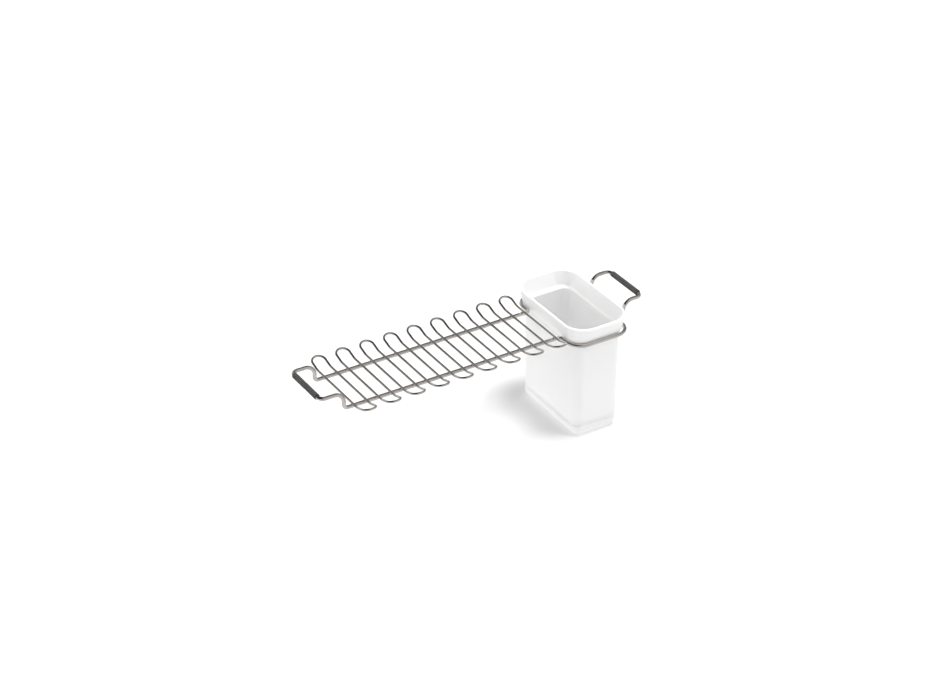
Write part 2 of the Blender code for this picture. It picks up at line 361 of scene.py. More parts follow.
def place(piece: bpy.types.Object, finish: bpy.types.Material, body: Body, slot: Slot, *nodes: str) -> None:
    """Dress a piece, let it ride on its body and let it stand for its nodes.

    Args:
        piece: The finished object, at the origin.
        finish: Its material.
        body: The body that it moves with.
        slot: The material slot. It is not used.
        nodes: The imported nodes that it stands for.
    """
    piece.data.materials.clear()
    piece.data.materials.append(finish)
    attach(piece, body.value)
    if nodes:
        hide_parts(*nodes)
    LOG.info("%s: %d faces on %s", piece.name, len(piece.data.polygons), body.value)


class Value:
    """A number in a material that takes part in sums as a Python number does."""

    def __init__(self, graph: "Graph", socket: bpy.types.NodeSocket) -> None:
        """Wrap an output socket of a graph."""
        self.graph = graph
        self.socket = socket

    def _maths(self, operation: str, first: "Value | float", second: "Value | float") -> "Value":
        """Return the result of a new Math node for two values."""
        made = self.graph.node("ShaderNodeMath", {"operation": operation}, {0: first, 1: second})
        return made.out("Value")

    def __add__(self, other: "Value | float") -> "Value":
        """Return this value plus another."""
        return self._maths("ADD", self, other)

    def __radd__(self, other: float) -> "Value":
        """Return a number plus this value."""
        return self._maths("ADD", other, self)

    def __sub__(self, other: "Value | float") -> "Value":
        """Return this value less another."""
        return self._maths("SUBTRACT", self, other)

    def __rsub__(self, other: float) -> "Value":
        """Return a number less this value."""
        return self._maths("SUBTRACT", other, self)

    def __mul__(self, other: "Value | float") -> "Value":
        """Return this value times another."""
        return self._maths("MULTIPLY", self, other)

    def __rmul__(self, other: float) -> "Value":
        """Return a number times this value."""
        return self._maths("MULTIPLY", other, self)

    def __rpow__(self, other: float) -> "Value":
        """Return a number to the power of this value."""
        return self._maths("POWER", other, self)


@dataclass
class Node:
    """A node that was added to a graph."""

    graph: "Graph"
    item: bpy.types.Node

    def out(self, name: str | int) -> Value:
        """Return one of the node's outputs, by its name or index."""
        return Value(self.graph, self.item.outputs[name])


class Graph:
    """The nodes of one material or of the world."""

    def __init__(self, tree: bpy.types.NodeTree) -> None:
        """Start from an empty tree."""
        self.tree = tree
        tree.nodes.clear()

    def node(self, kind: str, settings: dict, inputs: dict) -> Node:
        """Add a node.

        Args:
            kind: The node's type.
            settings: The node's properties, set first. A ramp's stops are given as "stops".
            inputs: The value or link of each socket, by the socket's name or index.

        Returns:
            The new node.
        """
        item = self.tree.nodes.new(kind)
        for name, value in settings.items():
            if name == "stops":
                self._stops(item.color_ramp, value)
            else:
                setattr(item, name, value)
        for name, value in inputs.items():
            if isinstance(value, Value):
                self.tree.links.new(value.socket, item.inputs[name])
            else:
                item.inputs[name].default_value = value
        return Node(self, item)

    @staticmethod
    def _stops(ramp: bpy.types.ColorRamp, stops: Stops) -> None:
        """Set a ramp's stops.

        Args:
            ramp: The ramp, with the two stops that it starts with.
            stops: The position and the grey of each stop.
        """
        while len(ramp.elements) < len(stops):
            ramp.elements.new(1.0)
        for element, (position, grey) in zip(ramp.elements, stops):
            element.position = position
            element.color = (grey, grey, grey, 1.0)

    def ramp(self, value: Value, stops: Stops) -> Value:
        """Return a value mapped through stops of position and grey."""
        return self.node("ShaderNodeValToRGB", {"stops": stops}, {"Fac": value}).out("Color")

    def noise(self, where: Value, scale: float, detail: float) -> Value:
        """Return smooth noise from 0 to 1 at a place."""
        inputs = {"Vector": where, "Scale": scale, "Detail": detail}
        return self.node("ShaderNodeTexNoise", {}, inputs).out("Fac")

    def stretched(self, where: Value, scale: tuple[float, float, float]) -> Value:
        """Return a place with each coordinate scaled."""
        return self.node("ShaderNodeMapping", {}, {"Vector": where, "Scale": scale}).out("Vector")

    def blend(self, amount: Value, low: Colour, high: Colour) -> Value:
        """Return a colour between two colours."""
        inputs = {"Factor": amount, MIX_LOW: (*low, 1.0), MIX_HIGH: (*high, 1.0)}
        return self.node("ShaderNodeMix", {"data_type": "RGBA"}, inputs).out(MIX_RESULT)

    def bump(self, height: Value, distance: float, strength: float) -> Value:
        """Return the normal of a surface raised by a height, where 1 is the distance in metres."""
        inputs = {"Height": height, "Distance": distance, "Strength": strength}
        return self.node("ShaderNodeBump", {}, inputs).out("Normal")

    def finish(self, inputs: dict) -> None:
        """End a material with a Principled BSDF that has these inputs."""
        shader = self.node("ShaderNodeBsdfPrincipled", {}, inputs).out("BSDF")
        self.node("ShaderNodeOutputMaterial", {}, {"Surface": shader})


class Finish:
    """A finish, whose kinds each say how their nodes are made."""

    def dress(self, graph: Graph) -> None:
        """Add the finish's nodes to a material's graph."""
        raise NotImplementedError

    def material(self, name: str) -> bpy.types.Material:
        """Make the finish.

        Args:
            name: The material's name.

        Returns:
            The material.
        """
        made = bpy.data.materials.new(name)
        made.use_nodes = True
        self.dress(Graph(made.node_tree))
        return made


@dataclass(frozen=True)
class PolishedSteel(Finish):
    """Drawn stainless wire, polished, with fine lines along it and faint smears.

    Attributes:
        colour: The metal's colour.
        smeared: The colour where a film of water dried.
        roughness: The least roughness, in a clean place between lines.
        line_pitch: The width of a drawing line, in metres.
        line_length: The length of a drawing line, in metres.
        line_depth: The depth of a drawing line, in metres.
        line_strength: How strongly the lines tilt the light.
        line_roughness: The roughness that the lines add.
        smear_scale: How many smears there are along a metre.
        smear_edges: The noise at which a smear starts and is full.
        smear_roughness: The roughness that a smear adds.
    """

    colour: Colour = (0.675, 0.645, 0.62)
    smeared: Colour = (0.61, 0.58, 0.555)
    roughness: float = 0.13
    line_pitch: float = 0.00018
    line_length: float = 0.030
    line_depth: float = 0.000004
    line_strength: float = 0.35
    line_roughness: float = 0.06
    smear_scale: float = 55.0
    smear_edges: Stops = ((0.42, 0.0), (0.68, 1.0))
    smear_roughness: float = 0.07

    def dress(self, graph: Graph) -> None:
        """Add the finish's nodes.

        Args:
            graph: The material's graph.
        """
        where = graph.node("ShaderNodeTexCoord", {}, {})
        lines = graph.stretched(where.out("UV"), (1 / self.line_length, 1 / self.line_pitch, 1.0))
        drawn = graph.noise(lines, scale=1.0, detail=2.0)
        film = graph.noise(where.out("Object"), self.smear_scale, detail=4.0)
        smears = graph.ramp(film, self.smear_edges)
        graph.finish({
            "Base Color": graph.blend(smears, self.colour, self.smeared),
            "Metallic": 1.0,
            "Roughness": self.roughness + drawn * self.line_roughness + smears * self.smear_roughness,
            "Normal": graph.bump(drawn, self.line_depth, self.line_strength),
        })


@dataclass(frozen=True)
class CharcoalRubber(Finish):
    """Ribbed charcoal rubber: matt grooves in painted shade, smoother crests with painted highlight and
    dust.

    Attributes:
        groove: The colour down in the grooves, darkened as painted shade.
        crest: The colour along the ribs, paler as a painted highlight, at full where dust lies.
        clean_crest: How much of the crests' colour, the painted highlight, shows where no dust lies.
        dust_scale: How many patches of dust there are along a metre.
        dust_edges: The noise at which a patch of dust starts and is full.
        roughness: The roughness of a groove.
        crest_polish: The roughness that a crest has lost.
        specular: How strongly the surface mirrors, where 0.5 is usual.
        grain: The size of the surface's grain, in metres.
        grain_depth: The depth of the grain, in metres.
        grain_strength: How strongly the grain tilts the light.
        grain_roughness: The roughness that the grain adds.
    """

    groove: Colour = (0.009, 0.009, 0.010)
    crest: Colour = (0.155, 0.153, 0.154)
    clean_crest: float = 0.62
    dust_scale: float = 140.0
    dust_edges: Stops = ((0.35, 0.0), (0.75, 1.0))
    roughness: float = 0.78
    crest_polish: float = 0.16
    specular: float = 0.42
    grain: float = 0.00035
    grain_depth: float = 0.00003
    grain_strength: float = 0.5
    grain_roughness: float = 0.08

    def dress(self, graph: Graph) -> None:
        """Add the finish's nodes.

        Args:
            graph: The material's graph.
        """
        where = graph.node("ShaderNodeTexCoord", {}, {}).out("Object")
        crest = graph.node("ShaderNodeAttribute", {"attribute_name": "crest"}, {}).out("Fac")
        grain = graph.noise(where, 1 / self.grain, detail=3.0)
        dust = graph.ramp(graph.noise(where, self.dust_scale, detail=5.0), self.dust_edges)
        # Painted highlight on the crests, fuller where dust lies, and painted shade down the grooves
        highlight_and_dust = crest * (self.clean_crest + (1 - self.clean_crest) * dust)
        graph.finish({
            "Base Color": graph.blend(highlight_and_dust, self.groove, self.crest),
            "Roughness": self.roughness - crest * self.crest_polish + grain * self.grain_roughness,
            "Specular IOR Level": self.specular,
            "Normal": graph.bump(grain, self.grain_depth, self.grain_strength),
        })


@dataclass(frozen=True)
class MouldedPlastic(Finish):
    """White moulded plastic with a soft gloss and a very fine mould texture.

    Attributes:
        colour: The plastic's colour.
        shade: The colour where the melt flowed thinner.
        flow_scale: How many swirls of the melt there are along a metre.
        flow_edges: The noise at which a swirl starts and is full.
        roughness: The roughness of a clean place.
        wipes: How many wiping marks there are along a metre, in X, Y and Z.
        wipe_roughness: The roughness that the wiping marks add.
        texture: The size of the mould's texture, in metres.
        texture_depth: The depth of the texture, in metres.
        texture_strength: How strongly the texture tilts the light.
        texture_roughness: The roughness that the texture adds.
        translucency: How much of the light spreads under the surface.
        bleed: How far it spreads, in metres.
    """

    colour: Colour = (0.95, 0.95, 0.947)
    shade: Colour = (0.935, 0.937, 0.935)
    flow_scale: float = 22.0
    flow_edges: Stops = ((0.3, 0.0), (0.7, 1.0))
    roughness: float = 0.27
    wipes: tuple[float, float, float] = (90.0, 90.0, 420.0)
    wipe_roughness: float = 0.06
    texture: float = 0.0006
    texture_depth: float = 0.000012
    texture_strength: float = 0.3
    texture_roughness: float = 0.05
    translucency: float = 0.5
    bleed: float = 0.003

    def dress(self, graph: Graph) -> None:
        """Add the finish's nodes.

        Args:
            graph: The material's graph.
        """
        where = graph.node("ShaderNodeTexCoord", {}, {}).out("Object")
        fine = graph.noise(where, 1 / self.texture, detail=2.0)
        flow = graph.ramp(graph.noise(where, self.flow_scale, detail=3.0), self.flow_edges)
        wiped = graph.noise(graph.stretched(where, self.wipes), scale=1.0, detail=3.0)
        graph.finish({
            "Base Color": graph.blend(flow, self.colour, self.shade),
            "Roughness": self.roughness + fine * self.texture_roughness + wiped * self.wipe_roughness,
            "Normal": graph.bump(fine, self.texture_depth, self.texture_strength),
            "Subsurface Weight": self.translucency,
            "Subsurface Scale": self.bleed,
            "Subsurface Radius": (1.0, 1.0, 1.0),
        })


@dataclass(frozen=True)
class PaleFloor(Finish):
    """The studio's floor: matt to the camera, evenly white to the light that it throws back.

    Attributes:
        middle: The middle of the cup.
        albedo: The matt grey.
        glow: The light that it gives off everywhere, where 1 is white.
        fade: Stops of the distance from the cup, in metres, and of the light that it adds there, so that
            it runs out into the white room.
        bounce: How bright it is to surfaces that it lights.
        mirrored: How bright it is in reflections.
    """

    middle: Vector
    albedo: float = 0.90
    glow: float = 0.02
    fade: Stops = ((0.32, 0.0), (0.95, 0.6))
    bounce: float = 1.08
    mirrored: float = 0.788

    def dress(self, graph: Graph) -> None:
        """Add the finish's nodes.

        Args:
            graph: The material's graph.
        """
        ray = graph.node("ShaderNodeLightPath", {}, {})
        grey = (self.albedo, self.albedo, self.albedo, 1.0)
        matt = graph.node("ShaderNodeBsdfDiffuse", {}, {"Color": grey}).out("BSDF")
        here = graph.node("ShaderNodeTexCoord", {}, {}).out("Object")
        inputs = {0: here, 1: self.middle}
        away = graph.node("ShaderNodeVectorMath", {"operation": "DISTANCE"}, inputs).out("Value")
        level = self.glow + graph.ramp(away, self.fade)
        given = graph.node("ShaderNodeEmission", {}, {"Strength": level}).out("Emission")
        seen = graph.node("ShaderNodeAddShader", {}, {0: matt, 1: given}).out("Shader")
        thrown = self.bounce + ray.out("Is Glossy Ray") * (self.mirrored - self.bounce)
        even = graph.node("ShaderNodeEmission", {}, {"Strength": thrown}).out("Emission")
        both = graph.node("ShaderNodeMixShader", {}, {0: ray.out("Is Camera Ray"), 1: even, 2: seen})
        graph.node("ShaderNodeOutputMaterial", {}, {"Surface": both.out("Shader")})


@dataclass
class WireFrame:
    """The thick rod: one closed loop that makes the handles, the rails and the ring round the cup.

    Sizes are in metres, between wire centres. The handles' bars are level with each other, and the rails
    lie lower by handle_rise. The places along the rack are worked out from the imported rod.
    """

    rod_radius: float = 0.0027
    rail_half_span: float = 0.0384
    handle_rise: float = 0.0238
    handle_corner: float = 0.0080
    riser_top: float = 0.0140
    riser_foot: float = 0.0058
    left_reach: float = 0.0335
    right_reach: float = 0.0289
    to_first_loop: float = 0.0212
    last_loop_to_ring: float = 0.0202
    ring_turn: float = 0.0054
    ring_corner: float = 0.0210
    ring_half_x: float = 0.0442
    ring_half_y: float = 0.0738
    ring_to_riser: float = 0.0116
    arc_step: float = math.radians(4.0)
    sides: int = 32

    def __post_init__(self) -> None:
        """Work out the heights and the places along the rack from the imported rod."""
        low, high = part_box("frame_rod")
        self.bar_z = high.z - self.rod_radius
        self.rail_z = self.bar_z - self.handle_rise
        self.left_x = low.x + self.rod_radius
        self.right_x = high.x - self.rod_radius
        self.left_riser_x = self.left_x + self.left_reach
        self.right_riser_x = self.right_x - self.right_reach
        self.ring_right_x = self.right_riser_x - self.ring_to_riser
        self.ring_left_x = self.ring_right_x - 2 * self.ring_half_x
        self.first_loop_x = self.left_riser_x + self.to_first_loop
        self.last_loop_x = self.ring_left_x - self.last_loop_to_ring

    def route(self) -> Array:
        """Return the rod's centre line: the near side from left to right, then its mirror image.

        Returns:
            The points, one a row.
        """
        span, bar, rail = self.rail_half_span, self.bar_z, self.rail_z
        near = [
            (self.left_x, span, bar, self.handle_corner),
            (self.left_riser_x, span, bar, self.riser_top),
            (self.left_riser_x, span, rail, self.riser_foot),
            (self.ring_left_x, span, rail, self.ring_turn),
            (self.ring_left_x, self.ring_half_y, rail, self.ring_corner),
            (self.ring_right_x, self.ring_half_y, rail, self.ring_corner),
            (self.ring_right_x, span, rail, self.ring_turn),
            (self.right_riser_x, span, rail, self.riser_foot),
            (self.right_riser_x, span, bar, self.riser_top),
            (self.right_x, span, bar, self.handle_corner),
        ]
        corners = [(np.array((x, -y, z)), radius) for x, y, z, radius in near]
        corners += [(np.array((x, y, z)), radius) for x, y, z, radius in reversed(near)]
        return rounded_route(corners, self.arc_step)

    def build(self, finish: bpy.types.Material) -> None:
        """Build the rod and let it ride on the rack.

        Args:
            finish: The rod's material.
        """
        path = self.route()
        lean = np.sign(path[:, 1:2]) * (-MM, 0.0, 0.0)
        rod = sweep(path, self.rod_radius, self.sides, lean).build("polished_frame_rod")
        place(rod, finish, Body.RACK, Slot.STEEL, "frame_rod")


@dataclass
class PlateLoops:
    """The nine thin loops that lie across the rails, with their ends turned up, and their welds.

    Sizes are in metres. A loop's legs run level past the rails, bend up by end_slope and meet in a half
    round that lies in that slope. A weld bead is a ball with the three half sizes of bead, cut off level
    at bead_end of its rise.
    """

    rods: WireFrame
    count: int = 9
    wire_radius: float = 0.0016
    weld_gap: float = 0.0003
    width: float = 0.0190
    knee_reach: float = 0.0140
    knee_radius: float = 0.0200
    end_run: float = 0.0096
    end_slope: float = math.radians(17.7)
    arc_step: float = math.radians(5.0)
    sides: int = 24
    bead: tuple[float, float, float] = (0.00145, 0.00185, 0.00055)
    bead_end: float = 0.47 * math.pi
    bead_rows: int = 9
    bead_sides: int = 16

    def route(self) -> Array:
        """Return one loop's centre line about X = 0: the far end from left to right, then the near one.

        The knee's arc is (reach + r sin(a), level + r (1 - cos(a))), and the tip is half a turn of
        (-h cos(a), h sin(a)) laid in the slope, where h is half the loop's width.

        Returns:
            The points, one a row.
        """
        level = self.rods.rail_z + self.rods.rod_radius + self.weld_gap + self.wire_radius
        knee = self.rods.rail_half_span + self.knee_reach
        tangent = self.knee_radius * math.tan(self.end_slope / 2)
        bend = np.linspace(0.0, self.end_slope, math.ceil(self.end_slope / self.arc_step) + 1)
        reach = knee - tangent + self.knee_radius * np.sin(bend)
        height = level + self.knee_radius * (1 - np.cos(bend))
        half = self.width / 2
        turn = np.linspace(0.0, HALF_TURN, math.ceil(HALF_TURN / self.arc_step) + 1)
        out = self.end_run + half * np.sin(turn)
        tip_reach = reach[-1] + out * math.cos(self.end_slope)
        tip_height = height[-1] + out * math.sin(self.end_slope)
        left = np.stack([np.full_like(bend, -half), reach, height], axis=1)
        right = left[::-1] * (-1.0, 1.0, 1.0)
        tip = np.stack([-half * np.cos(turn), tip_reach, tip_height], axis=1)
        far = np.concatenate([left, tip, right])
        near = (far * (1.0, -1.0, 1.0))[::-1]
        return np.concatenate([far, near])

    def beads(self, middle: float) -> Surface:
        """Return the four weld beads of one loop.

        With u round the bead and v up it, a point is (a cos(u) cos(v), b sin(u) cos(v), c sin(v)).

        Args:
            middle: The X of the loop's middle.

        Returns:
            One bead, with a shift to each crossing of a leg and a rail.
        """
        a, b, c = self.bead
        turn = np.linspace(0.0, WHOLE_TURN, self.bead_sides, endpoint=False)[None, :]
        rise = np.linspace(-self.bead_end, self.bead_end, self.bead_rows)[:, None]
        x, y = a * np.cos(turn) * np.cos(rise), b * np.sin(turn) * np.cos(rise)
        ball = np.stack([x, y, np.broadcast_to(c * np.sin(rise), x.shape)], axis=-1)
        half, span = self.width / 2, self.rods.rail_half_span
        height = self.rods.rail_z + self.rods.rod_radius + self.weld_gap / 2
        crossings = level_shifts((middle + half, middle - half), (span, -span))
        return Surface(ball + (0.0, 0.0, height), closed=False, shifts=crossings)

    def build(self, finish: bpy.types.Material) -> None:
        """Build every loop with its welds and let them ride on the rack.

        Args:
            finish: The material of the loops and their welds.
        """
        path = self.route()
        places = np.linspace(self.rods.first_loop_x, self.rods.last_loop_x, self.count)
        for number, middle in enumerate(places.tolist(), start=1):
            loop = sweep(path + (middle, 0.0, 0.0), self.wire_radius, self.sides)
            made = loop.build(f"polished_loop_{number}")
            place(made, finish, Body.RACK, Slot.STEEL, f"plate_loop_{number}")
            welds = self.beads(middle).mesh(f"weld_beads_{number}")
            welds.shade_smooth()
            place(stand(welds), finish, Body.RACK, Slot.STEEL)


@dataclass
class Grip:
    """A ribbed rubber sleeve on one of the two bars.

    Sizes are in metres. With a from 0 to a whole turn, the radius is outer - rib_depth * groove(a),
    where outer runs along the outside, round the ends and back along the bore. A groove starts where the
    ribs' cosine falls to groove_start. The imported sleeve's crests are flat and take up crest_share of a
    rib, which says how high the bar lies over that sleeve's lowest face.
    """

    node: str
    radius: float = 0.0040
    bore: float = 0.0030
    ribs: int = 14
    rib_depth: float = 0.0004
    rib_sides: int = 14
    groove_start: float = 0.25
    crest_share: float = 0.55
    end_round: float = 0.0005
    end_steps: int = 6
    body_steps: int = 14

    def profile(self, half: float) -> Array:
        """Return the sleeve's profile, over its outside and back along its bore.

        Each end is a quarter round: (half - r (1 - sin(t)), radius - r (1 - cos(t))).

        Args:
            half: Half the sleeve's length.

        Returns:
            Places along the bar and radii, one pair a row.
        """
        turn = np.linspace(0.0, QUARTER_TURN, self.end_steps + 1)
        along = half - self.end_round * (1 - np.sin(turn))
        outer = self.radius - self.end_round * (1 - np.cos(turn))
        right = np.stack([along, outer], axis=1)
        left = right[::-1] * (-1.0, 1.0)
        body = np.linspace(left[-1], right[0], self.body_steps + 1)[1:-1]
        return np.concatenate([left, body, right, [(half, self.bore), (-half, self.bore)]])

    def groove(self, turn: Array) -> Array:
        """Return how far down a groove each angle lies, from 0 on a crest to 1 between two ribs.

        With s = groove_start - cos(ribs * a), kept between 0 and 1, it is s^2 (3 - 2 s).

        Args:
            turn: The angles, from the middle of the lowest rib.

        Returns:
            The depths, one for each angle.
        """
        share = np.clip(self.groove_start - np.cos(self.ribs * turn), 0.0, 1.0)
        return share * share * (3 - 2 * share)

    def build(self, finish: bpy.types.Material) -> None:
        """Build the sleeve and let it ride on the rack.

        Args:
            finish: The sleeve's material.
        """
        low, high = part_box(self.node)
        middle = (low + high) / 2
        along, outer = (column[:, None] for column in self.profile((high.y - low.y) / 2).T)
        turn = np.linspace(0.0, WHOLE_TURN, self.ribs * self.rib_sides, endpoint=False)
        groove = self.groove(turn)
        ribbed = np.clip((outer - self.bore) / (self.radius - self.bore), 0.0, 1.0)
        radius = outer - self.rib_depth * groove * ribbed
        bar_z = low.z + self.radius * math.cos(math.pi * self.crest_share / self.ribs)
        x = middle.x + radius * np.cos(turn - QUARTER_TURN)
        y = middle.y + np.broadcast_to(along, radius.shape)
        z = bar_z + radius * np.sin(turn - QUARTER_TURN)
        # The crest values place the rubber's painted highlight on the ribs and its painted shade in the
        # grooves
        crest = np.broadcast_to(1 - groove, radius.shape)
        sleeve = Surface(np.stack([x, y, z], axis=-1), closed=True, lines={"crest": crest})
        made = sleeve.build(f"ribbed_{self.node}")
        place(made, finish, Body.RACK, Slot.RUBBER, self.node)


@dataclass
class UtensilCup:
    """The white cup: a tapering body, a flared collar that sits on the ring, and a drained floor.

    Sizes are in metres. half_x, half_y and corner are the body's outside at its top, just under the
    seat, and the collar's sizes that end in rise are heights over that top. The seat slopes by
    seat_angle and reaches seat_below under and seat_above over the line where it meets the ring. The
    two sizes of a lip are its width and its drop. The sizes that end in cut say how far a corner's
    rounding reaches along its two sides.
    """

    half_x: float = 0.0365
    half_y: float = 0.0684
    corner: float = 0.0144
    draft: float = 0.0105
    wall: float = 0.0014
    end_wall: float = 0.0031
    floor: float = 0.0025
    skirt: float = 0.0050
    seat_below: float = 0.0060
    seat_above: float = 0.0021
    seat_angle: float = math.radians(27.0)
    foot_half_x: float = 0.0409
    foot_corner: float = 0.0183
    step_x: float = 0.0010
    step_rise: float = 0.0055
    ledge_x: float = 0.0022
    ledge_y: float = 0.0047
    ledge_rise: float = 0.0089
    rim_rise: float = 0.02918
    rim_corner: float = 0.0300
    rim_lift: float = 0.0008
    lip_outside: tuple[float, float] = (0.0017, 0.0024)
    lip_inside: tuple[float, float] = (0.0016, 0.0011)
    lip_steps: int = 16
    skirt_cut: float = 0.0002
    seam_cut: float = 0.00014
    top_cut: float = 0.0020
    foot_cut: float = 0.0022
    ledge_cut: float = 0.0010
    step_cut: float = 0.0006
    mouth_cut: float = 0.0014
    floor_cut: float = 0.0060
    floor_round: float = 0.0080
    drain_radius: float = 0.0025
    drain_pitch: float = 0.0150
    drain_rows: int = 3
    drain_columns: int = 7
    drain_sides: int = 24
    corner_steps: int = 22
    curve_steps: int = 8

    def __post_init__(self) -> None:
        """Work out the cup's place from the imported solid."""
        low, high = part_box("utensil_cup")
        self.middle = (low + high) / 2
        self.rim_half_x = (high.x - low.x) / 2
        self.rim_half_y = (high.y - low.y) / 2
        self.rim_z = high.z
        self.seam_z = low.z
        self.top_z = self.rim_z - self.rim_rise

    def outside(self, height: float, inset: float = 0.0) -> tuple[float, float, float]:
        """Return the body's half sizes and corner radius at a height, drawn in by an inset."""
        drawn = self.draft * (self.top_z - height) + inset
        return self.half_x - drawn, self.half_y - drawn, self.corner - drawn

    def inside(self, height: float) -> tuple[float, float, float]:
        """Return the hollow's half sizes and corner radius at a height."""
        half_x, half_y, corner = self.outside(height, self.wall)
        return half_x, half_y + self.wall - self.end_wall, corner

    def lip(self) -> Array:
        """Return the rounded rim, from its outside over its crest to its inside.

        With a from 0 to half a turn, the inset is v - w cos(a) and the height is the crest's less
        d (1 - sin(a)). Here w and d are the outside's width and drop up to the crest and the inside's
        after it, and v is the outside's width.

        Returns:
            The rim's part of the profile, with cuts of 0.
        """
        angle = np.linspace(0.0, HALF_TURN, self.lip_steps + 1)[:, None]
        width, drop = np.where(angle < QUARTER_TURN, self.lip_outside, self.lip_inside).T[..., None]
        inset = self.lip_outside[0] - width * np.cos(angle)
        height = self.rim_z + self.rim_lift - drop * (1 - np.sin(angle))
        sizes = np.array((self.rim_half_x, self.rim_half_y, self.rim_corner)) - inset
        return np.concatenate([sizes, height, np.zeros_like(height)], axis=1)

    def stations(self) -> Array:
        """Return the cup's profile from the skirt's inside over the rim to the floor.

        Returns:
            The points in order, as half size in X, half size in Y, corner radius, height and cut.
        """
        top, seam = self.top_z, self.seam_z
        under = seam + self.skirt
        bottom = under + self.floor
        seat = self.seat_below + self.seat_above
        foot_z = top + seat * math.cos(self.seat_angle)
        foot_half_y = self.half_y + seat * math.sin(self.seat_angle)
        mouth_x, mouth_y, mouth_corner = self.inside(top)
        ledge_half_y, ledge_z = mouth_y + self.ledge_y, top + self.ledge_rise
        ledge_corner = self.foot_corner - (foot_half_y - ledge_half_y)
        step_corner = mouth_corner + self.step_x / 2
        floor = self.inside(bottom)
        outer = [
            (*self.outside(under, self.wall), under, 0.0),
            (*self.outside(seam, self.wall), seam, self.skirt_cut),
            (*self.outside(seam), seam, self.seam_cut),
            (*self.outside(top), top, self.top_cut),
            (self.foot_half_x, foot_half_y, self.foot_corner, foot_z, self.foot_cut),
        ]
        inner = [
            (mouth_x + self.ledge_x, ledge_half_y, ledge_corner, ledge_z, self.ledge_cut),
            (mouth_x + self.step_x, mouth_y, step_corner, top + self.step_rise, self.step_cut),
            (mouth_x, mouth_y, mouth_corner, top, self.mouth_cut),
            (*floor, bottom, self.floor_cut),
            (*(size - self.floor_round for size in floor), bottom, 0.0),
        ]
        return np.concatenate([outer, self.lip(), inner])

    def drains(self) -> Surface:
        """Return the pins that cut the floor's holes: a circle carried straight down through the floor.

        Returns:
            One pin, with a shift to each hole.
        """
        turn = np.linspace(0.0, WHOLE_TURN, self.drain_sides, endpoint=False)
        circle = np.stack([np.cos(turn), np.sin(turn), np.zeros_like(turn)], axis=1) * self.drain_radius
        heights = self.seam_z + self.skirt + np.array([-MM, self.floor + MM])
        pin = circle + heights[:, None, None] * UP
        x = self.middle.x + centred(self.drain_rows) * self.drain_pitch
        y = self.middle.y + centred(self.drain_columns) * self.drain_pitch
        return Surface(pin, closed=False, shifts=level_shifts(x, y))

    def cut_drains(self, shell: bpy.types.Object) -> None:
        """Cut the grid of drain holes out of the floor and keep the result as the shell's mesh.

        Args:
            shell: The cup without its holes.
        """
        pins = stand(self.drains().mesh("drain_pins"))
        modifier = shell.modifiers.new("drains", "BOOLEAN")
        modifier.operation = "DIFFERENCE"
        modifier.solver = "EXACT"
        modifier.object = pins
        bpy.context.view_layer.update()
        graph = bpy.context.evaluated_depsgraph_get()
        cut = bpy.data.meshes.new_from_object(shell.evaluated_get(graph))
        shell.modifiers.clear()
        shell.data = cut
        cut.set_sharp_from_angle(angle=SHARP_ANGLE)
        bpy.data.objects.remove(pins)

    def build(self, finish: bpy.types.Material) -> None:
        """Build the cup and let it ride on its own body.

        Args:
            finish: The cup's material.
        """
        profile = soften(self.stations(), self.curve_steps)
        grid = outlines(profile, self.corner_steps) + (self.middle.x, self.middle.y, 0.0)
        shell = Surface(grid, closed=False).build("moulded_utensil_cup")
        self.cut_drains(shell)
        place(shell, finish, Body.CUP, Slot.PLASTIC, "utensil_cup")


@dataclass
class CupBase:
    """The base under the cup's seam: a bowl with a well rounded edge, and a spigot into the skirt.

    Sizes are in metres. The sizes that end in cut say how far a corner's rounding reaches.
    """

    cup: UtensilCup
    seam: float = 0.00012
    seam_cut: float = 0.00014
    spigot: float = 0.0040
    spigot_gap: float = 0.0003
    spigot_foot_cut: float = 0.0003
    spigot_top_cut: float = 0.0004
    edge: float = 0.0125
    wall: float = 0.0022
    edge_steps: int = 14
    curve_steps: int = 6

    def bowl(self, inset: float) -> Array:
        """Return the rounded lower part from its bottom up to its side.

        With a from 0 to a quarter turn, a point lies inset + r (1 - sin(a)) inside the cup's outside
        at the seam, and edge - r cos(a) over the bottom, where r is edge - inset.

        Args:
            inset: How far inside the bowl's outer face the part lies.

        Returns:
            The points, with cuts of 0.
        """
        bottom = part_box("cup_base")[0].z
        radius = self.edge - inset
        angle = np.linspace(0.0, QUARTER_TURN, self.edge_steps + 1)[:, None]
        sizes = np.array(self.cup.outside(self.cup.seam_z)) - (inset + radius * (1 - np.sin(angle)))
        height = bottom + self.edge - radius * np.cos(angle)
        return np.concatenate([sizes, height, np.zeros_like(height)], axis=1)

    def stations(self) -> Array:
        """Return the base's profile from its bottom outside to its bottom inside.

        Returns:
            The points in order, as half size in X, half size in Y, corner radius, height and cut.
        """
        under = self.cup.seam_z - self.seam
        top = self.cup.seam_z + self.spigot
        inset = self.cup.wall + self.spigot_gap + self.cup.draft * self.cup.skirt
        spigot = self.cup.outside(self.cup.seam_z, inset)
        bore = tuple(size - self.wall for size in spigot)
        joint = [
            (*self.cup.outside(self.cup.seam_z), under, self.seam_cut),
            (*spigot, under, self.spigot_foot_cut),
            (*spigot, top, self.spigot_top_cut),
            (*bore, top, self.spigot_top_cut),
            (*bore, under, 0.0),
        ]
        return np.concatenate([self.bowl(0.0), joint, self.bowl(self.wall)[-2::-1]])

    def build(self, finish: bpy.types.Material) -> None:
        """Build the base and let it ride on its own body.

        Args:
            finish: The base's material.
        """
        profile = soften(self.stations(), self.curve_steps)
        grid = outlines(profile, self.cup.corner_steps) + (self.cup.middle.x, self.cup.middle.y, 0.0)
        made = Surface(grid, closed=False).build("moulded_cup_base")
        place(made, finish, Body.BASE, Slot.PLASTIC, "cup_base")


